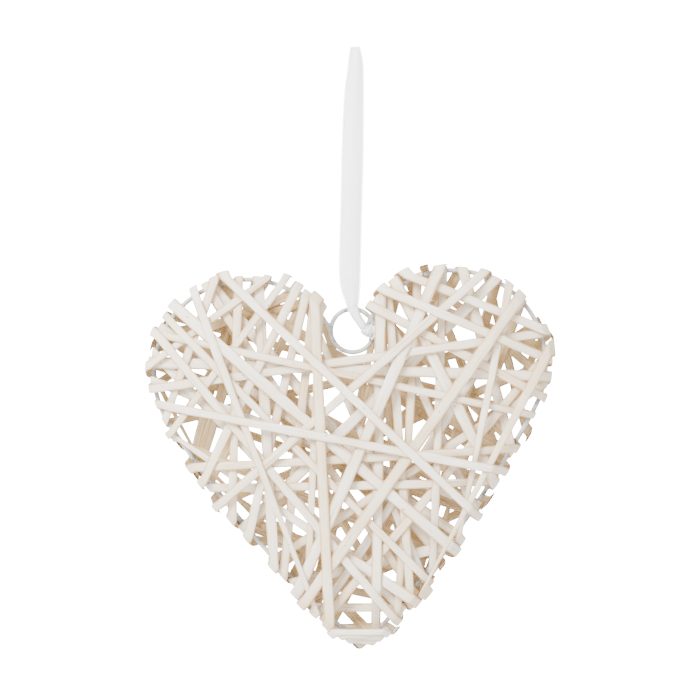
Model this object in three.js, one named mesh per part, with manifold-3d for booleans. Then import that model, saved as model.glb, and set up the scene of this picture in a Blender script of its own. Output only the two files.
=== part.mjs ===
// Wicker heart: split-willow strips wound over a wire heart, hung by a satin ribbon.
// Millimetres, +Z up, the front faces -Y. The origin is the inside top of the ribbon's loop.
import * as THREE from 'three';
import { mergeVertices } from 'three/addons/utils/BufferGeometryUtils.js';
import Module from 'manifold-3d';

// Wire frame
const wireDiameter = 2.4;
const lobeRadius = 51;
const tipDrop = 152.5;
const sideRadius = 650;
const ringOuterDiameter = 26.1;
const ringOffset = 2.3;
const ringRise = 20.4;
const jointSink = 1.08;
const heartLean = THREE.MathUtils.degToRad(2.6);
const wireSides = 8;
const lobeSteps = 18;
const sideSteps = 6;
const ringSteps = 28;

// Willow strips
const stripThickness = 0.9;
const narrowStrip = 4.0;
const mediumStrip = 4.8;
const wideStrip = 6.0;
const clearance = 0.3;
const archRise = 0.035;
const bindingArch = 0.01;
const hullSlack = 0.15;
const archStops = [0.22, 0.5, 0.78];
const steepestLay = THREE.MathUtils.degToRad(50);
const mostDrift = 6;
const shortestPass = 80;
const notchMargin = 6;
const tipMargin = 24;
const ringMargin = 13;
const crowdSpan = 4;
const crowdHeight = 10;
const shortCost = 2;
const notchCost = 20;
const reliefCell = 0.5;
const reliefMargin = 0.4;
const reliefBorder = 30;
const innerFoot = 1;
const settleRounds = 3;

// Tip binding, wound last: the places on the rim that it goes round in turn
const bindingWidth = 4.2;
const bindingPlaces = [49.5, 50.9, 48.8, 51.5, 48.1, 52.2, 47.4, 52.8];

// Hanging ribbon
const ribbonWidth = 12.5;
const ribbonThickness = 0.5;
const ribbonWaist = 5.4;
const ribbonGather = 5.2;
const waistFade = 45;
const gatherFade = 22;
const ribbonSway = -4.2;
const loopDepth = 8;
const loopRise = 153;
const strandRadius = 1.9;
const strandSink = 0.75;
const knotShift = { x: 6.8, y: -3.6, z: -0.4 };
const knotSize = { x: 6.4, y: 5, z: 7.6 };
const ribbonSteps = 12;
const loopTurnSteps = 6;
const knotSteps = 8;

// Where each strip crosses the front, in winding order: the two places on the rim for every front pass.
// A place is a mark from 0 to 100, counted from the ring over the left lobe, the tip and the right lobe.
const windings = [
  { width: mediumStrip, passes: [[17, 62.3], [21.5, 65.3], [97.5, 64.6], [44.7, 54.9]] },
  { width: wideStrip, passes: [[11.5, 60], [90, 70.5], [42, 61.7]] },
  { width: mediumStrip, passes: [[19, 54.6], [4, 57.8], [84.2, 45.5]] },
  { width: mediumStrip, passes: [[12, 56.2], [93.5, 54], [39.5, 77]] },
  { width: mediumStrip, passes: [[2.8, 41.3], [96.3, 55.4], [46, 79.5]] },
  { width: wideStrip, passes: [[87, 36], [26.5, 56], [97, 51.4]] },
  { width: mediumStrip, passes: [[31.5, 67.8], [3.5, 37], [91.5, 58.5]] },
  { width: wideStrip, passes: [[7.7, 40], [77.3, 20], [95.5, 67.5]] },
  { width: mediumStrip, passes: [[9.3, 35], [29.2, 71], [98.2, 75.7]] },
  { width: mediumStrip, passes: [[11, 25], [22, 81], [4.5, 31]] },
  { width: narrowStrip, passes: [[20.5, 7], [26, 5.5]] },
  { width: narrowStrip, passes: [[2.2, 44], [17.5, 74], [16, 57.8]] },
  { width: mediumStrip, passes: [[94.7, 81], [17.6, 53.8], [86, 62]] },
  { width: wideStrip, passes: [[15, 61], [91.7, 43]] },
  { width: mediumStrip, passes: [[88, 33.2], [96.8, 78.7], [13, 45]] },
  { width: wideStrip, passes: [[84.6, 43.9], [2.6, 46.6], [80, 57]] },
  { width: mediumStrip, passes: [[23.5, 69], [10.5, 64.5]] },
];

const paintedSteel = new THREE.MeshStandardMaterial({ color: '#dcdbd7', roughness: 0.45, metalness: 0.1 });
const whitewashedWillow = new THREE.MeshStandardMaterial({ color: '#ebe5dc', roughness: 0.75, metalness: 0 });
const whiteSatin = new THREE.MeshStandardMaterial({ color: '#f2f2f6', roughness: 0.4, metalness: 0 });

const wireRadius = wireDiameter / 2;
const ringRadius = ringOuterDiameter / 2 - wireRadius;

// Rim: the wire's centre line, a lobe arc and a shallow side arc on the left, mirrored on the right
function meetCircles(a, radiusA, b, radiusB, side) {
  const apart = Math.hypot(b.x - a.x, b.z - a.z);
  const along = (radiusA ** 2 - radiusB ** 2 + apart ** 2) / (2 * apart);
  const across = side * Math.sqrt(radiusA ** 2 - along ** 2);
  const dx = (b.x - a.x) / apart;
  const dz = (b.z - a.z) / apart;
  return { x: a.x + along * dx - across * dz, z: a.z + along * dz + across * dx };
}

const lobeToRing = lobeRadius + ringRadius - jointSink;
const lobeOffset = Math.sqrt(lobeToRing ** 2 - ringRise ** 2) - ringOffset;
const lobeCentre = { x: -lobeOffset, z: 0 };
const tipPoint = { x: 0, z: -tipDrop };
const ringCentre = { x: ringOffset, z: ringRise };
const sideCentre = meetCircles(lobeCentre, sideRadius - lobeRadius, tipPoint, sideRadius, 1);

const ringJoint = meetCircles(lobeCentre, lobeRadius, ringCentre, ringRadius, 1);
const lobeStart = Math.atan2(ringJoint.z, ringJoint.x + lobeOffset);
const lobeEnd = Math.PI + Math.atan2(sideCentre.z, sideCentre.x + lobeOffset);
const sideEnd = Math.PI + Math.atan2(sideCentre.z + tipDrop, sideCentre.x);
const lobeLength = (lobeEnd - lobeStart) * lobeRadius;
const sideLength = (sideEnd - lobeEnd) * sideRadius;
const halfRim = lobeLength + sideLength;
const rimLength = 2 * halfRim;
const markLength = rimLength / 100;

function rimPoint(distance) {
  const mirrored = distance > halfRim;
  const run = mirrored ? rimLength - distance : distance;
  const onLobe = run < lobeLength;
  const centre = onLobe ? lobeCentre : sideCentre;
  const radius = onLobe ? lobeRadius : sideRadius;
  const angle = onLobe ? lobeStart + run / lobeRadius : lobeEnd + (run - lobeLength) / sideRadius;
  const flip = mirrored ? -1 : 1;
  return {
    x: flip * (centre.x + radius * Math.cos(angle)),
    z: centre.z + radius * Math.sin(angle),
    nx: flip * Math.cos(angle),
    nz: Math.sin(angle),
  };
}

function offRim(distance, out) {
  const rim = rimPoint(distance);
  return { x: rim.x + out * rim.nx, z: rim.z + out * rim.nz };
}

const mix = (a, b, share) => a + (b - a) * share;
const mixPoint = (a, b, share) => ({ x: mix(a.x, b.x, share), z: mix(a.z, b.z, share) });

// Closed tubes from rings of corners, each ring a list of points in order round the section
function tubeGeometry(rings, closed) {
  const sides = rings[0].length;
  const corners = rings.flat().flatMap((point) => [point.x, point.y, point.z]);
  const faces = [];
  const spans = closed ? rings.length : rings.length - 1;
  for (let ring = 0; ring < spans; ring++) {
    const next = (ring + 1) % rings.length;
    for (let side = 0; side < sides; side++) {
      const a = ring * sides + side;
      const b = ring * sides + ((side + 1) % sides);
      const c = next * sides + ((side + 1) % sides);
      const d = next * sides + side;
      faces.push(a, b, c, a, c, d);
    }
  }
  if (!closed) {
    const last = (rings.length - 1) * sides;
    for (let side = 1; side < sides - 1; side++) {
      faces.push(0, side + 1, side);
      faces.push(last, last + side, last + side + 1);
    }
  }
  const geometry = new THREE.BufferGeometry();
  geometry.setAttribute('position', new THREE.Float32BufferAttribute(corners, 3));
  geometry.setIndex(signedVolume(corners, faces) > 0 ? faces : faces.reverse());
  return geometry;
}

function signedVolume(corners, faces) {
  const at = (index) => new THREE.Vector3().fromArray(corners, 3 * index);
  let volume = 0;
  for (let face = 0; face < faces.length; face += 3) {
    volume += at(faces[face]).dot(at(faces[face + 1]).cross(at(faces[face + 2]))) / 6;
  }
  return volume;
}

function roundSection(centre, outward, radius) {
  const section = [];
  for (let side = 0; side < wireSides; side++) {
    const turn = ((side + 0.5) / wireSides) * 2 * Math.PI;
    const out = radius * Math.cos(turn);
    const y = (centre.y ?? 0) + radius * Math.sin(turn);
    section.push({ x: centre.x + out * outward.x, y, z: centre.z + out * outward.z });
  }
  return section;
}

// Booleans
const wasm = await Module();
wasm.setup();

function toSolid(geometry) {
  const merged = mergeVertices(geometry.clone().deleteAttribute('normal').deleteAttribute('uv'));
  return new wasm.Manifold(new wasm.Mesh({
    numProp: 3,
    vertProperties: new Float32Array(merged.attributes.position.array),
    triVerts: new Uint32Array(merged.index.array),
  }));
}

function join(geometries) {
  const whole = geometries.map(toSolid).reduce((sum, solid) => sum.add(solid));
  const mesh = whole.getMesh();
  const geometry = new THREE.BufferGeometry();
  geometry.setAttribute('position', new THREE.BufferAttribute(mesh.vertProperties, 3));
  geometry.setIndex(new THREE.BufferAttribute(mesh.triVerts, 1));
  return geometry;
}

// Wire frame: the heart wire from ring to tip and back, with the ring welded in the notch
function rimStops() {
  const stops = [];
  for (let step = 0; step <= lobeSteps; step++) {
    stops.push((lobeLength * step) / lobeSteps);
  }
  for (let step = 1; step <= sideSteps; step++) {
    stops.push(lobeLength + (sideLength * step) / sideSteps);
  }
  return stops;
}

function wireFrameGeometry() {
  const left = rimStops();
  const right = left.slice(0, -1).reverse().map((stop) => rimLength - stop);
  const sections = [...left, ...right].map((stop) => {
    const rim = rimPoint(stop);
    const atTip = Math.abs(stop - halfRim) < 1e-6;
    const spread = atTip ? 1 / Math.abs(rim.nz) : 1;
    const outward = atTip ? { x: 0, z: -spread } : { x: rim.nx, z: rim.nz };
    return roundSection(rim, outward, wireRadius);
  });
  const ring = [];
  for (let step = 0; step < ringSteps; step++) {
    const turn = (step / ringSteps) * 2 * Math.PI;
    const outward = { x: Math.cos(turn), z: Math.sin(turn) };
    const centre = { x: ringCentre.x + ringRadius * outward.x, z: ringCentre.z + ringRadius * outward.z };
    ring.push(roundSection(centre, outward, wireRadius));
  }
  return join([tubeGeometry(sections, false), tubeGeometry(ring, true)]);
}

// Relief: how far out everything laid so far reaches, over the front and over the back
const reliefLeft = -lobeOffset - lobeRadius - reliefBorder;
const reliefBottom = -tipDrop - reliefBorder;
const columns = Math.ceil((-2 * reliefLeft) / reliefCell);
const rows = Math.ceil((lobeRadius + reliefBorder - reliefBottom) / reliefCell);
const reliefs = [new Float32Array(columns * rows), new Float32Array(columns * rows)];
const rimLevel = new Float32Array(Math.ceil(rimLength / reliefCell) + 1).fill(wireRadius);

function reliefIndex(point) {
  const column = Math.round((point.x - reliefLeft) / reliefCell);
  const row = Math.round((point.z - reliefBottom) / reliefCell);
  return row * columns + column;
}

function raiseRelief(relief, point, height) {
  const index = reliefIndex(point);
  relief[index] = Math.max(relief[index], height);
}

function raiseWire() {
  const half = Math.ceil(wireRadius / reliefCell) * 2;
  for (const relief of reliefs) {
    for (let stop = 0; stop < rimLength; stop += reliefCell / 2) {
      for (let out = -half; out <= half; out++) {
        raiseRelief(relief, offRim(stop, (out * reliefCell) / 2), wireRadius);
      }
    }
    for (let turn = 0; turn < 2 * Math.PI; turn += reliefCell / 2 / ringOuterDiameter) {
      for (let out = -half; out <= half; out++) {
        const reach = ringRadius + (out * reliefCell) / 2;
        const x = ringCentre.x + reach * Math.cos(turn);
        raiseRelief(relief, { x, z: ringCentre.z + reach * Math.sin(turn) }, wireRadius);
      }
    }
  }
}

// Every point of a band between two cross lines, at about half a relief cell, with a margin beside it
function bandLines(from, to) {
  const length = Math.hypot(mix(to.a.x, to.b.x, 0.5) - mix(from.a.x, from.b.x, 0.5),
    mix(to.a.z, to.b.z, 0.5) - mix(from.a.z, from.b.z, 0.5));
  const steps = Math.max(2, Math.ceil((2 * length) / reliefCell));
  const lines = [];
  for (let step = 0; step <= steps; step++) {
    const share = step / steps;
    const a = mixPoint(from.a, to.a, share);
    const b = mixPoint(from.b, to.b, share);
    const width = Math.hypot(b.x - a.x, b.z - a.z);
    const margin = reliefMargin / width;
    const count = Math.ceil((2 * width) / reliefCell) + 2;
    const points = [];
    for (let k = 0; k <= count; k++) {
      points.push(mixPoint(a, b, mix(-margin, 1 + margin, k / count)));
    }
    lines.push({ share, reach: share * length, a, b, points });
  }
  return lines;
}

// The upper hull of a profile is the line that a taut strip takes over what lies below it
function tautLine(profile) {
  const hull = [];
  for (const stop of profile) {
    while (hull.length > 1) {
      const [before, last] = hull.slice(-2);
      const rise = (last.height - before.height) * (stop.reach - before.reach);
      if (rise > (stop.height - before.height) * (last.reach - before.reach)) {
        break;
      }
      hull.pop();
    }
    hull.push(stop);
  }
  return thinLine(hull);
}

// Stops that stand less than the slack above a straight line between their neighbours are left out
function thinLine(line) {
  const kept = [line[0]];
  let from = 0;
  while (from < line.length - 1) {
    let to = from + 1;
    while (to + 1 < line.length && withinSlack(line, from, to + 1)) {
      to++;
    }
    kept.push(line[to]);
    from = to;
  }
  return kept;
}

function withinSlack(line, from, to) {
  const [start, end] = [line[from], line[to]];
  return line.slice(from + 1, to).every((stop) => {
    const share = (stop.reach - start.reach) / (end.reach - start.reach);
    return stop.height - mix(start.height, end.height, share) < hullSlack;
  });
}

function layPass(relief, from, to, arch) {
  const lines = bandLines(from, to);
  const length = lines.at(-1).reach;
  const profile = lines.map((line) => {
    const below = Math.max(...line.points.map((point) => relief[reliefIndex(point)]));
    return { ...line, height: below + clearance + hullSlack };
  });
  for (const share of archStops) {
    const stop = profile[Math.round(share * (profile.length - 1))];
    const bow = mix(from.height, to.height, share) + 4 * arch * length * share * (1 - share);
    stop.height = Math.max(stop.height, bow);
  }
  profile[0].height = from.height;
  profile.at(-1).height = to.height;
  const hull = tautLine(profile);
  for (let span = 1; span < hull.length; span++) {
    const [low, high] = [hull[span - 1], hull[span]];
    for (const line of lines.filter((each) => each.share >= low.share && each.share <= high.share)) {
      const height = mix(low.height, high.height, (line.share - low.share) / (high.share - low.share));
      line.points.forEach((point) => raiseRelief(relief, point, height + stripThickness));
    }
  }
  return hull;
}

// A wrap takes a strip round the wire from one side to the other on a chamfered, nested path
const chamfer = 2 - Math.SQRT2;

function wrapRings(place, lay, levels, width) {
  const { reach, over, under } = levels;
  const cutOver = chamfer * Math.min(reach, over);
  const cutUnder = chamfer * Math.min(reach, under);
  const path = [
    { out: reach - cutOver, depth: over },
    { out: reach, depth: over - cutOver },
    { out: reach, depth: cutUnder - under },
    { out: reach - cutUnder, depth: -under },
  ];
  const runs = [path[0].out];
  for (let k = 1; k < path.length; k++) {
    runs.push(runs[k - 1] + Math.hypot(path[k].out - path[k - 1].out, path[k].depth - path[k - 1].depth));
  }
  const whole = runs.at(-1) + path.at(-1).out;
  const held = Math.min(1, mostDrift / (whole * Math.tan(steepestLay)));
  const drift = (run) => {
    const angle = mix(lay.arriving, lay.leaving, run / whole / 2);
    return held * run * Math.tan(angle);
  };
  const middle = drift(whole) / 2;
  return path.map((step, k) => {
    const angle = mix(lay.arriving, lay.leaving, runs[k] / whole);
    const half = width / 2 / Math.cos(angle);
    return { ...step, along: place + drift(runs[k]) - middle, half };
  });
}

function levelCells(low, high) {
  return [Math.max(0, Math.floor(low / reliefCell)), Math.ceil(high / reliefCell) + 1];
}

function rimReach(low, high) {
  return Math.max(...rimLevel.slice(...levelCells(low, high)));
}

function footprintHeight(relief, low, high, reach) {
  let height = 0;
  for (let stop = low; stop <= high; stop += reliefCell / 2) {
    for (let out = -innerFoot; out <= reach; out += reliefCell / 2) {
      height = Math.max(height, relief[reliefIndex(offRim(stop, out))]);
    }
  }
  return height + clearance;
}

function layWrap(place, lay, width, over, under) {
  let levels = { reach: wireRadius, over: wireRadius, under: wireRadius };
  let rings = wrapRings(place, lay, levels, width);
  for (let round = 0; round < settleRounds; round++) {
    const low = Math.min(...rings.map((ring) => ring.along - ring.half)) - reliefMargin;
    const high = Math.max(...rings.map((ring) => ring.along + ring.half)) + reliefMargin;
    const reach = rimReach(low, high) + clearance;
    levels = {
      low,
      high,
      reach: Math.max(reach, levels.reach),
      over: Math.max(footprintHeight(over, low, high, reach + stripThickness), levels.over),
      under: Math.max(footprintHeight(under, low, high, reach + stripThickness), levels.under),
    };
    rings = wrapRings(place, lay, levels, width);
  }
  const outside = levels.reach + stripThickness;
  const [first, end] = levelCells(levels.low, levels.high);
  for (let cell = first; cell < end; cell++) {
    rimLevel[cell] = Math.max(rimLevel[cell], outside);
  }
  for (let stop = levels.low; stop <= levels.high; stop += reliefCell / 2) {
    for (let out = 0; out <= outside; out += reliefCell / 2) {
      raiseRelief(over, offRim(stop, out), levels.over + stripThickness);
      raiseRelief(under, offRim(stop, out), levels.under + stripThickness);
    }
  }
  const grown = {
    reach: levels.reach + stripThickness,
    over: levels.over + stripThickness,
    under: levels.under + stripThickness,
  };
  const outer = wrapRings(place, lay, grown, width);
  return rings.map((ring, k) => ({ ...ring, outerOut: outer[k].out, outerDepth: outer[k].depth }));
}

// Directions at the rim
function chord(from, to) {
  const a = rimPoint(from);
  const b = rimPoint(to);
  const length = Math.hypot(b.x - a.x, b.z - a.z);
  return { a, b, length, x: (b.x - a.x) / length, z: (b.z - a.z) / length };
}

function lean(line, place) {
  const rim = rimPoint(place);
  const along = line.z * rim.nx - line.x * rim.nz;
  const most = Math.sin(steepestLay);
  return Math.asin(THREE.MathUtils.clamp(along, -most, most));
}

function clearsNotch(line) {
  if (line.a.x * line.b.x >= 0) {
    return true;
  }
  const share = (ringCentre.x - line.a.x) / (line.b.x - line.a.x);
  return mix(line.a.z, line.b.z, share) < ringCentre.z - ringRadius - notchMargin;
}

function turnCost(before, place, after) {
  return Math.abs(lean(chord(before, place), place) - lean(chord(place, after), place));
}

// A strip carries on round the rim the way it came, to a place that is not yet crowded
function carryOn(before, place) {
  let best = { cost: Infinity };
  for (let next = ringMargin; next < rimLength - ringMargin; next += markLength / 2) {
    const line = chord(place, next);
    const allowed = Math.abs(next - halfRim) > tipMargin && line.length > shortestPass && clearsNotch(line);
    const crowd = rimReach(next - crowdSpan, next + crowdSpan) / crowdHeight;
    const cost = allowed ? turnCost(before, place, next) + crowd : Infinity;
    best = cost < best.cost ? { cost, next } : best;
  }
  return best.next;
}

// Each front pass may run either way: the strip takes the ways that turn it least between passes
function routeOf(passes) {
  let best = { cost: Infinity };
  for (let choice = 0; choice < 2 ** passes.length; choice++) {
    const places = passes.flatMap((pass, k) => ((choice >> k) & 1 ? [pass[1], pass[0]] : pass));
    const stops = places.map((mark) => mark * markLength);
    let cost = 0;
    for (let k = 1; k + 2 < stops.length; k += 2) {
      const line = chord(stops[k], stops[k + 1]);
      cost += turnCost(stops[k - 1], stops[k], stops[k + 1]) + turnCost(stops[k], stops[k + 1], stops[k + 2]);
      cost += line.length < shortestPass ? shortCost : 0;
      cost += clearsNotch(line) ? 0 : notchCost;
    }
    best = cost < best.cost ? { cost, stops } : best;
  }
  const { stops } = best;
  return [carryOn(stops[1], stops[0]), ...stops];
}

// A strip's edge a points to higher marks at one wrap and to lower marks at the next
function crossLine(ring, edge) {
  return {
    a: offRim(ring.along + edge * ring.half, ring.out),
    b: offRim(ring.along - edge * ring.half, ring.out),
    height: Math.abs(ring.depth),
  };
}

// One strip from its cut end in front of the wire, over back and front in turn, to its other cut end
function windStrip(stops, width, arch) {
  const rings = [];
  let before = null;
  stops.forEach((place, k) => {
    const arriving = k > 0 ? lean(chord(stops[k - 1], place), place) : null;
    const leaving = k < stops.length - 1 ? lean(chord(place, stops[k + 1]), place) : null;
    const lay = { arriving: arriving ?? leaving, leaving: leaving ?? arriving };
    const side = k % 2;
    const face = side ? 1 : -1;
    const edge = side ? -1 : 1;
    const wrap = layWrap(place, lay, width, reliefs[side], reliefs[1 - side]);
    if (before) {
      const start = crossLine(before.at(-1), -edge);
      const pass = layPass(reliefs[side], start, crossLine(wrap[0], edge), arch);
      pass.slice(1, -1).forEach((stop) => rings.push(passSection(stop, face)));
    }
    // A cut end stops at the outside of the wire
    const kept = wrap.slice(k === 0 ? 1 : 0, k === stops.length - 1 ? -1 : wrap.length);
    kept.forEach((ring) => rings.push(wrapSection(ring, edge, face)));
    before = wrap;
  });
  return tubeGeometry(rings, false);
}

function wrapSection(ring, edge, face) {
  const a = ring.along + edge * ring.half;
  const b = ring.along - edge * ring.half;
  const corner = (along, out, depth) => ({ ...offRim(along, out), y: face * depth });
  return [
    corner(a, ring.out, ring.depth),
    corner(b, ring.out, ring.depth),
    corner(b, ring.outerOut, ring.outerDepth),
    corner(a, ring.outerOut, ring.outerDepth),
  ];
}

function passSection(stop, face) {
  const top = stop.height + stripThickness;
  return [
    { ...stop.a, y: face * stop.height },
    { ...stop.b, y: face * stop.height },
    { ...stop.b, y: face * top },
    { ...stop.a, y: face * top },
  ];
}

// Hanging ribbon: one band round the ring's top and up to the hook, and its knot inside the ring
function inFrame(point) {
  const x = point.x * Math.cos(heartLean) - point.z * Math.sin(heartLean) + heartPlace.x;
  const z = point.x * Math.sin(heartLean) + point.z * Math.cos(heartLean) + heartPlace.z;
  return { x, z };
}

function ribbonAt(depth) {
  const ringTop = ringMiddle.z + ringRadius;
  const fall = depth / ringTop;
  const fromTop = THREE.MathUtils.smoothstep(-depth, -waistFade / 4, waistFade);
  const fromRing = THREE.MathUtils.smoothstep(depth - ringTop, 0, gatherFade);
  const width = Math.min(mix(ribbonWaist, ribbonWidth, fromTop), mix(ribbonGather, ribbonWidth, fromRing));
  const x = mix(0, ringMiddle.x, fall) + ribbonSway * Math.sin(Math.PI * THREE.MathUtils.clamp(fall, 0, 1)) / 2;
  return { x, half: width / 2 };
}

function ribbonSection(y, z, outY, outZ) {
  const { x, half } = ribbonAt(Math.min(0, z));
  const far = { y: y + outY * ribbonThickness, z: z + outZ * ribbonThickness };
  return [
    { x: x - half, y, z },
    { x: x + half, y, z },
    { x: x + half, y: far.y, z: far.z },
    { x: x - half, y: far.y, z: far.z },
  ];
}

function ribbonGeometry() {
  const top = { z: -loopDepth / 2, radius: loopDepth / 2 };
  const ringSag = ringRadius - Math.sqrt(ringRadius ** 2 - (ribbonGather / 2) ** 2);
  const foot = { z: ringMiddle.z + ringRadius, radius: wireRadius + clearance + ringSag };
  const band = [];
  for (const [end, start] of [[top, 0], [foot, Math.PI]]) {
    for (let step = 0; step <= loopTurnSteps; step++) {
      const turn = start + (step / loopTurnSteps) * Math.PI;
      const outY = -Math.cos(turn);
      const outZ = Math.sin(turn);
      band.push(ribbonSection(end.radius * outY, end.z + end.radius * outZ, outY, outZ));
    }
    const other = end === top ? foot : top;
    const face = end === top ? 1 : -1;
    for (let step = 1; step < ribbonSteps; step++) {
      const share = step / ribbonSteps;
      const y = face * mix(end.radius, other.radius, share);
      band.push(ribbonSection(y, mix(end.z, other.z, share), face, 0));
    }
  }
  const strandTop = { x: ringMiddle.x, y: 0, z: foot.z - foot.radius - strandSink * strandRadius };
  const knot = {
    x: ringMiddle.x + knotShift.x,
    y: knotShift.y,
    z: ringMiddle.z + knotShift.z,
  };
  const length = Math.hypot(knot.x - strandTop.x, knot.z - strandTop.z);
  const outward = { x: (knot.z - strandTop.z) / length, z: (strandTop.x - knot.x) / length };
  const strand = [roundSection(strandTop, outward, strandRadius), roundSection(knot, outward, strandRadius)];
  const ball = new THREE.SphereGeometry(0.5, knotSteps, knotSteps / 2 + 1);
  ball.scale(knotSize.x, knotSize.y, knotSize.z).translate(knot.x, knot.y, knot.z);
  return join([tubeGeometry(band, true), tubeGeometry(strand, false), ball]);
}

// Assembly
const heartPlace = { x: -3.8, z: -ringRise - loopRise };
const heart = new THREE.Group();
heart.position.set(heartPlace.x, 0, heartPlace.z);
heart.rotation.y = -heartLean;
const ringMiddle = inFrame(ringCentre);

function addPiece(parent, name, geometry, material) {
  const mesh = new THREE.Mesh(geometry, material);
  mesh.name = name;
  parent.add(mesh);
}

raiseWire();
addPiece(heart, 'wire_frame', wireFrameGeometry(), paintedSteel);
windings.forEach(({ width, passes }, index) => {
  const name = `willow_strip_${String(index + 1).padStart(2, '0')}`;
  addPiece(heart, name, windStrip(routeOf(passes), width, archRise), whitewashedWillow);
});
const binding = bindingPlaces.map((mark) => mark * markLength);
addPiece(heart, 'tip_binding', windStrip(binding, bindingWidth, bindingArch), whitewashedWillow);

const wickerHeart = new THREE.Group();
wickerHeart.add(heart);
addPiece(wickerHeart, 'hanging_ribbon', ribbonGeometry(), whiteSatin);
export default wickerHeart;
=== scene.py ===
"""Wicker heart: whitewashed willow strips wound over a wire heart that hangs by a satin ribbon.

Everything is in metres, +Z up, with the front of the heart facing -Y.
"""
import math

import bmesh
import bpy
import numpy as np
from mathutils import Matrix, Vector


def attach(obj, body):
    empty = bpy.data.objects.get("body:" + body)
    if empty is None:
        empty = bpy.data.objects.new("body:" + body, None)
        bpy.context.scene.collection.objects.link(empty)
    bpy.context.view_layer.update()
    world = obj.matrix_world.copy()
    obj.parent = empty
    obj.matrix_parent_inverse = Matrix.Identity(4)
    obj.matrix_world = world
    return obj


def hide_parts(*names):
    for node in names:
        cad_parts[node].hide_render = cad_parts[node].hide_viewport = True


bl_info = {
    "name": "Wicker Heart",
    "version": (1, 0, 0),
    "blender": (4, 5, 0),
    "location": "3D View > Sidebar > Wicker Heart",
    "description": "Dresses the wicker heart: willow strips, wire, ribbon and a plain studio",
    "category": "Object",
}

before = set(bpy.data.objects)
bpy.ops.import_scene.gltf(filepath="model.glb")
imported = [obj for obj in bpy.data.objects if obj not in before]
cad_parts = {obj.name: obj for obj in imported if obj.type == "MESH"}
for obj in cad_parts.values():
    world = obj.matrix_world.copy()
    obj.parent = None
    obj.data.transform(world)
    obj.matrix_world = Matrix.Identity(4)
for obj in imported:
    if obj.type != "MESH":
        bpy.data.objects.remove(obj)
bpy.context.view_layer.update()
MM = 0.001

STRIPS = sorted(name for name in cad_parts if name.startswith("willow_strip_"))
BINDING = "tip_binding"
WIRE = "wire_frame"
RIBBON = "hanging_ribbon"

# Where the photograph's frame lies on the object
VIEW_WIDTH = 0.3815
VIEW_CENTRE = Vector((-0.0038, 0.0, -0.1635))
CAMERA_DISTANCE = 1.6
SENSOR_WIDTH = 36.0

# Strength of the even white surroundings, as they light the heart and as they are seen behind it
AMBIENT = 1.75
BACKDROP = 25.0
KEY_PLACE = Vector((-0.8, -1.2, 0.7))
KEY_SIZE = 0.7
KEY_POWER = 85.0
FLOOR_SIZE = 4.0
FLOOR_PLACE = Vector((0, 0, -0.75))


class HeartSizes(bpy.types.PropertyGroup):
    """Sizes of the finish on the heart's pieces"""
    bend_softness: bpy.props.FloatProperty(
        name="Bend softness", description="How far a strip's bends are eased along it",
        default=1.2 * MM, unit="LENGTH")
    wander: bpy.props.FloatProperty(
        name="Width variation", description="Share by which a strip's width varies along it",
        default=0.07, min=0.0, max=0.2)
    ribbon_gauge: bpy.props.FloatProperty(
        name="Ribbon thickness", description="Thickness of the satin ribbon",
        default=0.25 * MM, unit="LENGTH")
    wire_growth: bpy.props.FloatProperty(
        name="Wire coat", description="Paint thickness that fills out the wire",
        default=0.22 * MM, unit="LENGTH")


class HeartColours(bpy.types.PropertyGroup):
    """Colours of the heart's materials, as sRGB hex values"""
    whitewash: bpy.props.StringProperty(
        name="Whitewash", description="Painted face of the willow", default="FBF5EB")
    thin_wash: bpy.props.StringProperty(
        name="Thin wash", description="Wash that lets the willow show through", default="ECD9B8")
    washed_fibre: bpy.props.StringProperty(
        name="Washed fibre", description="Raised fibres that the wash covers less", default="E0C69F")
    worn_streak: bpy.props.StringProperty(
        name="Worn streak", description="Long streaks that the wash missed", default="C8A06A")
    rubbed_corner: bpy.props.StringProperty(
        name="Rubbed corner", description="Corners of a strip, rubbed bare", default="C9A36C")
    bark_speck: bpy.props.StringProperty(
        name="Bark speck", description="Specks of bark on a strip", default="8A6A45")
    bare_willow: bpy.props.StringProperty(
        name="Bare willow", description="Split inner face of the willow", default="DCC392")
    bare_fibre: bpy.props.StringProperty(
        name="Bare fibre", description="Darker fibres of the split face", default="B7925C")
    bare_streak: bpy.props.StringProperty(
        name="Bare streak", description="Pale streaks of the split face", default="F1E2C6")
    cut_end: bpy.props.StringProperty(
        name="Cut end", description="Cut ends of the strips", default="7D6548")
    wire_paint: bpy.props.StringProperty(
        name="Wire paint", description="Paint on the wire", default="C4C4C3")
    worn_paint: bpy.props.StringProperty(
        name="Worn paint", description="Paint that is worn thin on the wire", default="969594")
    bare_wire: bpy.props.StringProperty(
        name="Bare wire", description="Steel where the paint is gone", default="62605D")
    wire_speck: bpy.props.StringProperty(
        name="Wire speck", description="Small chips in the wire's paint", default="55504A")
    satin: bpy.props.StringProperty(
        name="Satin", description="The ribbon", default="F6F6FE")
    satin_shade: bpy.props.StringProperty(
        name="Satin shade", description="The ribbon between its threads", default="E9E9EF")
    paper: bpy.props.StringProperty(
        name="Paper", description="The studio's floor", default="F7F6F4")


# Colours and nodes
def linear(value):
    """An sRGB hex value as linear red, green, blue and full alpha."""
    parts = [int(value[k:k + 2], 16) / 255 for k in (0, 2, 4)]
    return [c / 12.92 if c <= 0.04045 else ((c + 0.055) / 1.055) ** 2.4 for c in parts] + [1.0]


def add_node(material, kind, settings=None, inputs=None):
    """Adds one node, sets its properties and fills or links its inputs by name or number."""
    tree = material.node_tree
    node = tree.nodes.new(kind)
    for name, value in (settings or {}).items():
        setattr(node, name, value)
    for name, value in (inputs or {}).items():
        if isinstance(value, bpy.types.NodeSocket):
            tree.links.new(value, node.inputs[name])
        else:
            node.inputs[name].default_value = value
    return node


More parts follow.
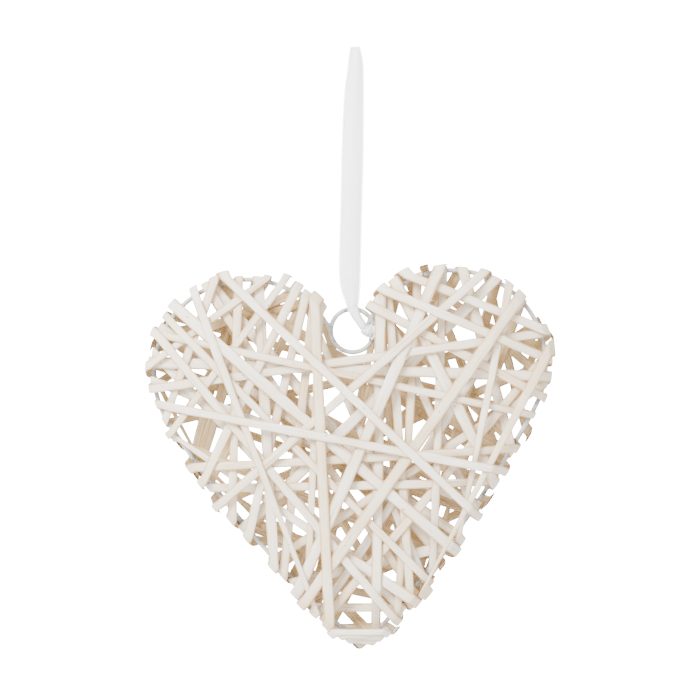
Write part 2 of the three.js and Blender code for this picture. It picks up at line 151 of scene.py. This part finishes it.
def new_material(name, **constants):
    """A material with a principled shader whose constant sockets are set directly."""
    material = bpy.data.materials.new(name)
    material.use_nodes = True
    shader = material.node_tree.nodes["Principled BSDF"]
    for socket, value in constants.items():
        shader.inputs[socket.replace("_", " ")].default_value = value
    return material, shader


def stretched(material, uv, along, across, detail=4.0, offset=0.0):
    """Noise drawn out along a strip: along and across are the sizes of its features, in metres."""
    scaled = add_node(material, "ShaderNodeMapping", inputs={
        "Vector": uv, "Scale": (1 / along, 1 / across, 1), "Location": (offset, offset, 0)})
    noise = add_node(material, "ShaderNodeTexNoise", inputs={
        "Vector": scaled.outputs["Vector"], "Scale": 1.0, "Detail": detail, "Roughness": 0.6})
    return noise.outputs["Fac"]


def ramp(material, fac, low, high, start=0.0, end=1.0):
    """Maps a value between low and high onto start to end, and holds it beyond."""
    node = add_node(material, "ShaderNodeMapRange", {"clamp": True}, {
        "Value": fac, "From Min": low, "From Max": high, "To Min": start, "To Max": end})
    return node.outputs["Result"]


def blend_colour(material, fac, a, b):
    """Mixes two colours by a factor."""
    node = add_node(material, "ShaderNodeMix", {"data_type": "RGBA"})
    links = material.node_tree.links
    links.new(fac, node.inputs["Factor"])
    for socket, value in (("A", a), ("B", b)):
        slot = next(i for i in node.inputs if i.name == socket and i.type == "RGBA")
        if isinstance(value, bpy.types.NodeSocket):
            links.new(value, slot)
        else:
            slot.default_value = value
    return next(o for o in node.outputs if o.type == "RGBA")


def maths(material, operation, a, b):
    """One arithmetic step on two values."""
    return add_node(material, "ShaderNodeMath", {"operation": operation}, {0: a, 1: b}).outputs[0]


def finish_surface(material, shader, colour, roughness, height, strength, depth):
    """Links a surface's colour and roughness, and raises it by a height, to a depth in metres."""
    bump = add_node(material, "ShaderNodeBump", inputs={
        "Height": height, "Strength": strength, "Distance": depth})
    normal = bump.outputs["Normal"]
    for value, socket in ((colour, "Base Color"), (roughness, "Roughness"), (normal, "Normal")):
        material.node_tree.links.new(value, shader.inputs[socket])


def whitewashed_willow(colours):
    """Split willow, limewashed: matt white on the bark side, bare tan on the split side."""
    material, shader = new_material("Whitewashed willow", Specular_IOR_Level=0.3)
    uv = add_node(material, "ShaderNodeUVMap", {"uv_map": "grain"}).outputs["UV"]
    bare, edge, tone, cut = (
        add_node(material, "ShaderNodeAttribute", {"attribute_name": name}).outputs["Fac"]
        for name in ("bare", "edge", "tone", "cut"))
    # Wood fibres are about 0.4 mm wide, drawn a little coarser so that they show
    fibre = stretched(material, uv, 14 * MM, 0.55 * MM)
    streak = stretched(material, uv, 45 * MM, 1.4 * MM, offset=3.1)
    cloud = stretched(material, uv, 22 * MM, 9 * MM, detail=2.0, offset=7.7)
    speck = stretched(material, uv, 3.2 * MM, 1.5 * MM, detail=1.0, offset=5.5)
    # The wash is thinner in long patches, and thins further on each strip by its own tone
    thin = maths(material, "ADD", ramp(material, cloud, 0.35, 0.7, 0.0, 0.7), tone)
    # Corners of the strip rub bare first
    rubbed = maths(material, "MULTIPLY", ramp(material, edge, 0.6, 0.9), ramp(material, cloud, 0.36, 0.56))
    painted = linear(colours.whitewash)
    for share, tint in ((thin, colours.thin_wash),
                        (ramp(material, fibre, 0.47, 0.74, 0.0, 0.75), colours.washed_fibre),
                        (ramp(material, streak, 0.57, 0.71, 0.0, 0.85), colours.worn_streak),
                        (rubbed, colours.rubbed_corner),
                        (ramp(material, speck, 0.74, 0.79), colours.bark_speck)):
        painted = blend_colour(material, share, painted, linear(tint))
    wood = linear(colours.bare_willow)
    for share, tint in ((ramp(material, fibre, 0.3, 0.75), colours.bare_fibre),
                        (ramp(material, streak, 0.45, 0.68, 0.0, 0.7), colours.bare_streak)):
        wood = blend_colour(material, share, wood, linear(tint))
    colour = blend_colour(material, bare, painted, wood)
    # The cut ends have darkened pith
    colour = blend_colour(material, ramp(material, cut, 0.4, 1.0), colour, linear(colours.cut_end))
    finish_surface(material, shader, colour, ramp(material, fibre, 0.3, 0.8, 0.6, 0.85),
                   maths(material, "ADD", fibre, maths(material, "MULTIPLY", streak, 0.8)), 0.5, 0.3 * MM)
    return material


def painted_steel(colours):
    """Mild steel wire under one thin coat of white paint, rubbed grey where strips bear on it."""
    material, shader = new_material("Painted steel wire")
    place = add_node(material, "ShaderNodeTexCoord").outputs["Object"]
    worn = add_node(material, "ShaderNodeTexNoise", inputs={
        "Vector": place, "Scale": 1 / (7 * MM), "Detail": 6.0, "Roughness": 0.65}).outputs["Fac"]
    chips = add_node(material, "ShaderNodeTexNoise", inputs={
        "Vector": place, "Scale": 1 / (1.2 * MM), "Detail": 3.0}).outputs["Fac"]
    colour = linear(colours.wire_paint)
    for share, tint in ((ramp(material, worn, 0.45, 0.62), colours.worn_paint),
                        (ramp(material, worn, 0.58, 0.67, 0.0, 0.8), colours.bare_wire),
                        (ramp(material, chips, 0.66, 0.74, 0.0, 0.6), colours.wire_speck)):
        colour = blend_colour(material, share, colour, linear(tint))
    finish_surface(material, shader, colour, ramp(material, worn, 0.4, 0.7, 0.35, 0.6),
                   maths(material, "ADD", worn, maths(material, "MULTIPLY", chips, 0.4)), 0.4, 0.15 * MM)
    return material


def satin_ribbon(colours, name, cover):
    """Polyester satin: long floats give a soft sheen. One layer is sheer, the knot is many layers."""
    material, shader = new_material(name, Sheen_Weight=0.15, Alpha=cover)
    uv = add_node(material, "ShaderNodeUVMap", {"uv_map": "weave"}).outputs["UV"]
    # Threads are about 0.1 mm apart, too fine to show, so the weft is drawn at 0.5 mm
    weft = stretched(material, uv, 0.5 * MM, 9 * MM, detail=2.0)
    warp = stretched(material, uv, 40 * MM, 0.7 * MM, detail=2.0, offset=4.2)
    threads = maths(material, "MULTIPLY", weft, warp)
    colour = blend_colour(material, ramp(material, threads, 0.15, 0.4),
                          linear(colours.satin), linear(colours.satin_shade))
    finish_surface(material, shader, colour, ramp(material, weft, 0.3, 0.7, 0.38, 0.55),
                   threads, 0.25, 0.1 * MM)
    return material


# Meshes
def merged_copy(node):
    """The CAD node's mesh with its loose triangles joined at their corners."""
    mesh = bmesh.new()
    mesh.from_mesh(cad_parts[node].data)
    bmesh.ops.remove_doubles(mesh, verts=mesh.verts, dist=0.002 * MM)
    return mesh


def grid_faces(rows, count, closed_rows=False, closed_across=False):
    """The quads of a grid of points, row by row, which may close on itself either way."""
    return [(j * count + k, j * count + (k + 1) % count,
             (j + 1) % rows * count + (k + 1) % count, (j + 1) % rows * count + k)
            for j in range(rows if closed_rows else rows - 1)
            for k in range(count if closed_across else count - 1)]


def end_faces(rows, count):
    """The two faces that close a tube of points at its ends."""
    return [tuple(range(count - 1, -1, -1)), tuple((rows - 1) * count + k for k in range(count))]


def stand_for(piece, node):
    """Lets a finished piece ride on the heart and stand for its node."""
    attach(piece, "root")
    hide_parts(node)


def add_piece(name, mesh, material, node):
    """Links a finished mesh as a piece that stands for its node."""
    piece = bpy.data.objects.new(name, mesh)
    bpy.context.scene.collection.objects.link(piece)
    mesh.materials.append(material)
    stand_for(piece, node)
    return piece


def select_only(piece):
    """Makes a piece the only one selected, and the active one."""
    bpy.ops.object.select_all(action="DESELECT")
    piece.select_set(True)
    bpy.context.view_layer.objects.active = piece


def best_order(ring, before):
    """The ring's four corners in the order that follows the ring before it."""
    shape = ring - ring.mean(axis=0)
    past = before - before.mean(axis=0)
    orders = [np.roll(range(4), k)[::step] for k in range(4) for step in (1, -1)]
    gaps = [((shape[order] - past) ** 2).sum() for order in orders]
    return ring[orders[int(np.argmin(gaps))]]


def around(points):
    """Four corners of a flat section put in order round it: the furthest corner is opposite."""
    gaps = ((points - points[0]) ** 2).sum(axis=1)
    far = int(gaps.argmax())
    near = [k for k in range(1, 4) if k != far]
    return points[[0, near[0], far, near[1]]]


def strip_rings(node):
    """A strip's cross lines from end to end: inner a, inner b, outer b and outer a, in metres."""
    mesh = merged_copy(node)
    mesh.verts.index_update()
    ends = {v for v in mesh.verts if len(v.link_edges) < 6}
    start = next(v for v in mesh.verts if v in ends)
    ring = {start}
    for _ in range(3):
        ring |= {e.other_vert(v) for v in ring for e in v.link_edges} & ends
    seen = set(ring)
    rings = []
    while ring:
        if len(ring) != 4:
            raise RuntimeError(f"{node}: a cross line has {len(ring)} corners and not 4")
        # A set has no fixed order, so the corners are put in the order of their numbers first
        points = around(np.array([v.co[:] for v in sorted(ring, key=lambda v: v.index)]))
        if rings:
            points = best_order(points, rings[-1])
        elif np.linalg.norm(points[0] - points[1]) < np.linalg.norm(points[1] - points[2]):
            points = np.roll(points, 1, axis=0)
        rings.append(points)
        ring = {e.other_vert(v) for v in ring for e in v.link_edges} - seen
        seen |= ring
    mesh.free()
    rings = np.array(rings)
    depth = np.abs(rings[:, :, 1])
    if (depth[:, 2:].sum() - depth[:, :2].sum()) < 0:
        rings = rings[:, [3, 2, 1, 0]]
    return rings


def eased(rings, step, softness):
    """The rings drawn again at an even step, with the bends eased by a moving average."""
    centres = rings.mean(axis=1)
    reach = np.concatenate([[0], np.cumsum(np.linalg.norm(np.diff(centres, axis=0), axis=1))])
    stops = np.linspace(0, reach[-1], int(reach[-1] / step) + 2)
    flat = rings.reshape(len(rings), -1)
    fine = np.stack([np.interp(stops, reach, column) for column in flat.T], axis=1)
    half = int(3 * softness / step)
    weights = np.exp(-0.5 * (np.arange(-half, half + 1) * step / softness) ** 2)
    weights /= weights.sum()
    head = 2 * fine[0] - fine[half:0:-1]
    tail = 2 * fine[-1] - fine[-2:-half - 2:-1]
    padded = np.concatenate([head, fine, tail])
    smooth = np.stack([np.convolve(column, weights, "valid") for column in padded.T], axis=1)
    return stops, smooth.reshape(-1, 4, 3)


def needed(rings, longest, sharpest):
    """The rings that matter: one for every small turn, and one at least at every longest step."""
    centres = rings.mean(axis=1)
    steps = np.diff(centres, axis=0)
    lengths = np.linalg.norm(steps, axis=1)
    ways = steps / lengths[:, None]
    kept, run, turn = [0], 0.0, 0.0
    for k in range(1, len(centres) - 1):
        run += lengths[k - 1]
        turn += math.acos(min(1.0, float(ways[k - 1] @ ways[k])))
        if run > longest or turn > sharpest:
            kept.append(k)
            run, turn = 0.0, 0.0
    return kept + [len(centres) - 1]


# A split strip's section: place across it from -1 to 1, and height from the inner face to the crown
SECTION = [(-0.95, 0.72), (-0.82, 0.95), (-0.46, 1.08), (0.0, 1.13), (0.46, 1.08), (0.82, 0.95),
           (0.95, 0.72), (1.0, 0.42), (0.95, 0.08), (0.45, 0.0), (-0.45, 0.0), (-0.95, 0.08), (-1.0, 0.42)]
# How bare each point of the section is, and which two are its sides
BARE = [0, 0, 0, 0, 0, 0, 0, 0.35, 1, 1, 1, 1, 0.35]
RIGHT_SIDE, LEFT_SIDE = 7, 12
# The strip is traced at this step, and keeps a ring at every longest step or sharpest turn
TRACE_STEP = 0.4 * MM
LONGEST_STEP = 3.0 * MM
SHARPEST_TURN = math.radians(7)
# The wash runs over both faces of the binding, and it is thick there
BINDING_BARE = 0.2
BINDING_TONE = -0.3


def ripple(rng, reach, spacing):
    """Smooth seeded unevenness along a strip, about -1 to 1."""
    total = np.zeros_like(reach)
    for octave in range(3):
        size = spacing / 2 ** octave
        total += rng.uniform(0.5, 1) / 2 ** octave * np.sin(
            2 * math.pi * (reach / size * rng.uniform(0.7, 1.3) + rng.random()))
    return total / 1.6


def strip_mesh(name, node, seed, sizes):
    """One willow strip, crowned on its bark side and a little uneven, along the CAD strip's path."""
    rng = np.random.default_rng(seed)
    stops, rings = eased(strip_rings(node), TRACE_STEP, sizes.bend_softness)
    kept = sorted({1, len(rings) - 2, *needed(rings, LONGEST_STEP, SHARPEST_TURN)})
    rings, reach = rings[kept], stops[kept]
    inner = (rings[:, 0] + rings[:, 1]) / 2
    width = (rings[:, 1] - rings[:, 0]) / 2
    rise = (rings[:, 2] + rings[:, 3] - rings[:, 0] - rings[:, 1]) / 2
    grown = 1 + sizes.wander * ripple(rng, reach, 70 * MM)
    crown = 1 + 0.08 * ripple(rng, reach, 40 * MM)
    lean = 0.06 * ripple(rng, reach, 90 * MM)
    count = len(SECTION)
    corners = np.zeros((len(kept), count, 3))
    for k, (across, height) in enumerate(SECTION):
        edge_wear = 1 + 0.03 * ripple(rng, reach, 9 * MM) * abs(across) ** 4
        corners[:, k] = (inner + width * (across * grown * edge_wear)[:, None]
                         + rise * (height * crown + lean * across * (height > 0.5))[:, None])
    mesh = bpy.data.meshes.new(name)
    faces = grid_faces(len(kept), count, closed_across=True) + end_faces(len(kept), count)
    mesh.from_pydata(corners.reshape(-1, 3).tolist(), [], faces)
    tone = BINDING_TONE if node == BINDING else rng.uniform(-0.25, 0.65)
    dress_strip(mesh, corners, reach, seed, tone, BINDING_BARE if node == BINDING else 1)
    outward(mesh)
    mesh.shade_smooth()
    return mesh


def dress_strip(mesh, corners, reach, seed, tone, bareness):
    """Writes the grain's UV map, in metres, and how bare, near an edge, toned and cut each point is."""
    rows, count = corners.shape[:2]
    half = np.linalg.norm(corners[:, RIGHT_SIDE] - corners[:, LEFT_SIDE], axis=1) / 2
    across = np.array([place for place, _ in SECTION])
    bare = np.tile(np.array(BARE, float), rows) * bareness
    edge = np.tile(np.abs(across), rows)
    cut = np.zeros(rows * count)
    cut[:count] = cut[-count:] = 1
    tones = np.full(rows * count, tone)
    for name, values in (("bare", bare), ("edge", edge), ("tone", tones), ("cut", cut)):
        mesh.attributes.new(name, "FLOAT", "POINT").data.foreach_set("value", values)
    # Every strip, and the split face of each, reads its own stretch of the grain
    u = np.repeat(reach + seed * 1.37, count)
    v = (half[:, None] * across[None, :]).ravel() + bare * 0.05
    layer = mesh.uv_layers.new(name="grain")
    corner_verts = np.zeros(len(mesh.loops), int)
    mesh.loops.foreach_get("vertex_index", corner_verts)
    layer.data.foreach_set("uv", np.stack([u[corner_verts], v[corner_verts]], axis=1).ravel())


def outward(mesh):
    """Turns the mesh's faces to point out of the solid."""
    shape = bmesh.new()
    shape.from_mesh(mesh)
    bmesh.ops.recalc_face_normals(shape, faces=shape.faces)
    if shape.calc_volume(signed=True) < 0:
        bmesh.ops.reverse_faces(shape, faces=shape.faces)
    shape.to_mesh(mesh)
    shape.free()


# The ribbon from the front: depth below the hanging point, left edge and right edge, in millimetres
RIBBON_EDGES = [(-1.8, -4.1, 2.1), (3, -4.6, 3.0), (9, -5.3, 3.9), (23, -7.1, 4.0), (38, -8.0, 4.0),
                (59, -8.7, 3.8), (85, -9.2, 3.1), (114, -10.1, 2.4), (121, -10.1, 2.3), (128, -9.5, 2.1),
                (133, -8.2, 1.7), (137, -6.6, 1.3), (142, -5.2, 0.6)]
RIBBON_WIDTH = 12.5 * MM
# Points across the ribbon, and steps along each side, over the hook and under the ring
ACROSS = 17
SIDE_STEPS, HOOK_STEPS, RING_STEPS = 60, 14, 10
HOOK_RADIUS = 3.6 * MM
# The fold stands this far above the point that the heart hangs from
FOLD_HEIGHT = 1.8 * MM
RING_TOP = Vector((-2.43, 0, -141.07)) * MM
RING_WRAP = 1.95 * MM
# Each layer shows past the other by this much: the front one on the right, the back one on the left
LAYER_SHIFT = 0.9 * MM
# Share of the light that one face of the ribbon holds back: a layer has two
SHEER_COVER = 0.495
# The ribbon's two edges sway apart by this much, over this height
SWAY, SWAY_HEIGHT = 0.25 * MM, 23 * MM


def ribbon_path():
    """The loop up its front, over the hook, down its back and under the ring.

    Each stop is its depth and height, the outward way and the side, from 0 in front to 1 behind.
    """
    path = []
    hook_height = FOLD_HEIGHT - HOOK_RADIUS
    for k in range(SIDE_STEPS + 1):
        share = k / SIDE_STEPS
        out = RING_WRAP + (HOOK_RADIUS - RING_WRAP) * share
        path.append((-out, RING_TOP.z + (hook_height - RING_TOP.z) * share, -1.0, 0.0, 0.0))
    front = list(path)
    for k in range(1, HOOK_STEPS):
        turn = math.pi * k / HOOK_STEPS
        ny, nz = -math.cos(turn), math.sin(turn)
        path.append((HOOK_RADIUS * ny, hook_height + HOOK_RADIUS * nz, ny, nz, k / HOOK_STEPS))
    for y, z, ny, nz, _ in reversed(front):
        path.append((-y, z, -ny, nz, 1.0))
    for k in range(1, RING_STEPS):
        turn = math.pi * k / RING_STEPS
        ny, nz = math.cos(turn), -math.sin(turn)
        path.append((RING_WRAP * ny, RING_TOP.z + RING_WRAP * nz, ny, nz, 1 - k / RING_STEPS))
    return path


def curl(chord):
    """How deep the ribbon bows when its edges are a chord apart, for a bow that is nearly a parabola."""
    return chord * math.sqrt(0.375 * max(0.0, RIBBON_WIDTH / chord - 1))


def ribbon_mesh(name):
    """The loop as one open band: bowed across where it is gathered, so that its width is kept."""
    depth, left, right = (np.array(column) * MM for column in zip(*RIBBON_EDGES))
    path = ribbon_path()
    points, places, reach = [], [], 0.0
    for k, (y, z, ny, nz, side) in enumerate(path):
        low = np.interp(-z, depth, left) + LAYER_SHIFT * (1 - side)
        high = np.interp(-z, depth, right) - LAYER_SHIFT * side
        bow = curl(high - low) * (1 - max(0.0, nz)) ** 2
        sway = SWAY * math.sin(-z / SWAY_HEIGHT + 2 * side)
        if k:
            reach += math.hypot(y - path[k - 1][0], z - path[k - 1][1])
        for j in range(ACROSS):
            t = 2 * j / (ACROSS - 1) - 1
            out = bow * (0.35 - t * t) + sway * t
            points.append(((low + high) / 2 + (high - low) / 2 * t, y + ny * out, z + nz * out))
            places.append((reach, RIBBON_WIDTH * j / (ACROSS - 1)))
    return woven_mesh(name, points, grid_faces(len(path), ACROSS, closed_rows=True), places), reach


def weave(mesh, places):
    """A UV map in metres along and across the ribbon, from one place for each point."""
    layer = mesh.uv_layers.new(name="weave")
    for loop in mesh.loops:
        layer.data[loop.index].uv = places[loop.vertex_index]


def woven_mesh(name, points, faces, places):
    """A smooth mesh of the ribbon with its UV map."""
    mesh = bpy.data.meshes.new(name)
    mesh.from_pydata(points, [], faces)
    weave(mesh, places)
    mesh.shade_smooth()
    return mesh


# The tie: from the ring's top down to the knot, as centre, half width, half thickness and turn in degrees
TIE = [((-2.3, -2.3, -139.6), 2.8, 0.9, 0), ((-1.7, -3.3, -142.2), 2.7, 1.2, 12),
       ((-0.5, -3.6, -144.8), 2.4, 1.3, 28), ((1.1, -3.8, -147.2), 2.2, 1.4, 38),
       ((2.8, -4.0, -149.7), 2.2, 1.6, 42), ((4.6, -4.2, -152.0), 2.3, 1.8, 44)]
TIE_STEPS = 40
PLEATS = 6
PLEAT_DEPTH = 0.1
TIE_SPACING = 3 * MM
KNOT = Vector((5.9, -4.0, -153.3)) * MM
KNOT_SIZE = Vector((3.5, 2.6, 3.3)) * MM
# The tails: where each starts and ends, and half its width
TAILS = [((7.2, -4.4, -151.6), (10.0, -4.6, -152.6), 2.3), ((7.0, -3.6, -154.6), (9.5, -3.8, -156.4), 2.2)]
TAIL_STEPS = 8
TAIL_LIFT = 0.9 * MM
TAIL_CURL = 0.5 * MM


def tie_mesh(name):
    """The gathered ribbon between the ring and the knot, with its pleats."""
    points, places = [], []
    for k, (centre, half, thick, turn) in enumerate(TIE):
        way = math.radians(turn)
        for j in range(TIE_STEPS):
            angle = 2 * math.pi * j / TIE_STEPS
            pleat = 1 + PLEAT_DEPTH * math.sin(PLEATS * angle + 0.7 * k)
            across = half * math.cos(angle) * pleat
            out = thick * math.sin(angle) * pleat
            spot = Vector(centre) + Vector((across * math.cos(way), out, across * math.sin(way)))
            points.append(spot * MM)
            places.append((TIE_SPACING * k, across * MM))
    faces = grid_faces(len(TIE), TIE_STEPS, closed_across=True) + end_faces(len(TIE), TIE_STEPS)
    mesh = woven_mesh(name, points, faces, places)
    outward(mesh)
    return mesh


def make_knot(material):
    """The knot: a ball drawn into wound folds."""
    bpy.ops.mesh.primitive_uv_sphere_add(segments=64, ring_count=40, radius=1)
    knot = bpy.context.object
    knot.name = "ribbon_knot"
    for point in knot.data.vertices:
        x, y, z = point.co
        fold = 0.09 * math.sin(7 * (x * 0.6 + z) + 3 * y) + 0.05 * math.sin(11 * x - 5 * z)
        point.co = point.co * (1 + fold) * KNOT_SIZE + KNOT
    weave(knot.data, [(p.co.x + p.co.z, p.co.x - p.co.z) for p in knot.data.vertices])
    knot.data.materials.append(material)
    bpy.ops.object.shade_smooth()
    return knot


def tail_mesh(name, start, end, half):
    """A short flat end of ribbon that leaves the knot and lifts a little."""
    start, end = Vector(start) * MM, Vector(end) * MM
    side = (end - start).cross(Vector((0, 1, 0))).normalized()
    points, places = [], []
    for k in range(TAIL_STEPS + 1):
        share = k / TAIL_STEPS
        for j in range(TAIL_STEPS + 1):
            t = 2 * j / TAIL_STEPS - 1
            lift = Vector((0, TAIL_LIFT * share ** 2 + TAIL_CURL * t * t, 0))
            points.append(start.lerp(end, share) + side * (half * MM * t * (0.6 + 0.4 * share)) - lift)
            places.append(((end - start).length * share, half * MM * t))
    return woven_mesh(name, points, grid_faces(TAIL_STEPS + 1, TAIL_STEPS + 1), places)


def thicken(piece, gauge):
    """Gives an open band its thickness."""
    select_only(piece)
    wall = piece.modifiers.new("Gauge", "SOLIDIFY")
    wall.thickness = gauge
    wall.offset = 0
    bpy.ops.object.modifier_apply(modifier=wall.name)


class HEART_OT_camera(bpy.types.Operator):
    """Places the camera straight in front, at the photograph's framing"""
    bl_idname = "heart.camera"
    bl_label = "Camera"

    def execute(self, context):
        bpy.ops.object.camera_add(location=VIEW_CENTRE - Vector((0, CAMERA_DISTANCE, 0)),
                                  rotation=(math.pi / 2, 0, 0))
        camera = context.object
        camera.data.sensor_width = SENSOR_WIDTH
        camera.data.lens = SENSOR_WIDTH * CAMERA_DISTANCE / VIEW_WIDTH
        context.scene.camera = camera
        return {"FINISHED"}


class HEART_OT_wire(bpy.types.Operator):
    """Rounds out the painted wire heart and its ring"""
    bl_idname = "heart.wire"
    bl_label = "Wire frame"

    def execute(self, context):
        mesh = merged_copy(WIRE)
        data = bpy.data.meshes.new("painted_wire")
        mesh.to_mesh(data)
        mesh.free()
        material = painted_steel(context.scene.heart_colours)
        piece = add_piece("painted_wire", data, material, WIRE)
        select_only(piece)
        bpy.ops.object.mode_set(mode="EDIT")
        bpy.ops.mesh.select_all(action="SELECT")
        bpy.ops.transform.shrink_fatten(value=context.scene.heart_sizes.wire_growth)
        bpy.ops.object.mode_set(mode="OBJECT")
        rounding = piece.modifiers.new("Rounding", "SUBSURF")
        rounding.levels = rounding.render_levels = 2
        bpy.ops.object.modifier_apply(modifier=rounding.name)
        bpy.ops.object.shade_smooth()
        return {"FINISHED"}


class HEART_OT_strips(bpy.types.Operator):
    """Makes every willow strip, and the one that binds the tip"""
    bl_idname = "heart.strips"
    bl_label = "Willow strips"

    def execute(self, context):
        material = whitewashed_willow(context.scene.heart_colours)
        for seed, node in enumerate(STRIPS + [BINDING]):
            name = "tip_binding_skein" if node == BINDING else node.replace("willow_strip", "willow_skein")
            mesh = strip_mesh(name, node, seed, context.scene.heart_sizes)
            add_piece(name, mesh, material, node)
        return {"FINISHED"}


class HEART_OT_ribbon(bpy.types.Operator):
    """Makes the satin ribbon's loop and its knot"""
    bl_idname = "heart.ribbon"
    bl_label = "Satin ribbon"

    def execute(self, context):
        colours = context.scene.heart_colours
        sheer = satin_ribbon(colours, "White satin ribbon", SHEER_COVER)
        material = satin_ribbon(colours, "Knotted satin ribbon", 1.0)
        gauge = context.scene.heart_sizes.ribbon_gauge
        mesh, length = ribbon_mesh("ribbon_loop")
        loop = add_piece("ribbon_loop", mesh, sheer, RIBBON)
        thicken(loop, gauge)
        extras = [add_piece("ribbon_tie", tie_mesh("ribbon_tie"), material, RIBBON)]
        for k, (start, end, half) in enumerate(TAILS):
            name = f"ribbon_tail_{k + 1}"
            tail = add_piece(name, tail_mesh(name, start, end, half), material, RIBBON)
            thicken(tail, gauge)
            extras.append(tail)
        knot = make_knot(material)
        stand_for(knot, RIBBON)
        return {"FINISHED"}


class HEART_OT_studio(bpy.types.Operator):
    """Sets the pale floor and the soft lights"""
    bl_idname = "heart.studio"
    bl_label = "Studio"

    def execute(self, context):
        bpy.ops.object.select_all(action="DESELECT")
        bpy.ops.mesh.primitive_plane_add(size=FLOOR_SIZE, location=FLOOR_PLACE)
        floor = context.object
        floor.name = "studio_floor"
        white = linear(context.scene.heart_colours.paper)
        paper, _ = new_material("Pale paper", Roughness=0.9, Base_Color=white)
        floor.data.materials.append(paper)
        world = bpy.data.worlds.new("Studio")
        world.use_nodes = True
        backing = world.node_tree.nodes["Background"]
        backing.inputs["Color"].default_value = (1, 1, 1, 1)
        # The white backdrop is brighter to the eye than the light it gives the heart
        seen = add_node(world, "ShaderNodeLightPath").outputs["Is Camera Ray"]
        glow = ramp(world, seen, 0.0, 1.0, AMBIENT, BACKDROP)
        world.node_tree.links.new(glow, backing.inputs["Strength"])
        context.scene.world = world
        bpy.ops.object.light_add(type="AREA", location=KEY_PLACE)
        light = context.object
        light.name = "key"
        light.data.size = KEY_SIZE
        light.data.energy = KEY_POWER
        light.rotation_euler = (VIEW_CENTRE - KEY_PLACE).to_track_quat("-Z", "Y").to_euler()
        return {"FINISHED"}


class HEART_PT_panel(bpy.types.Panel):
    """Lists the steps that make the heart"""
    bl_idname = "HEART_PT_panel"
    bl_label = "Wicker Heart"
    bl_space_type = "VIEW_3D"
    bl_region_type = "UI"
    bl_category = "Wicker Heart"

    def draw(self, context):
        for group in (context.scene.heart_sizes, context.scene.heart_colours):
            for name in group.__annotations__:
                self.layout.prop(group, name)
        for step in STEPS:
            self.layout.operator(step.bl_idname)


STEPS = (HEART_OT_camera, HEART_OT_ribbon, HEART_OT_wire, HEART_OT_strips, HEART_OT_studio)
CLASSES = (HeartSizes, HeartColours) + STEPS + (HEART_PT_panel,)


def register():
    for each in CLASSES:
        bpy.utils.register_class(each)
    bpy.types.Scene.heart_sizes = bpy.props.PointerProperty(type=HeartSizes)
    bpy.types.Scene.heart_colours = bpy.props.PointerProperty(type=HeartColours)


def unregister():
    del bpy.types.Scene.heart_colours
    del bpy.types.Scene.heart_sizes
    for each in reversed(CLASSES):
        bpy.utils.unregister_class(each)


def main():
    register()
    for step in STEPS:
        group, name = step.bl_idname.split(".")
        getattr(getattr(bpy.ops, group), name)()


if __name__ == "__main__":
    main()
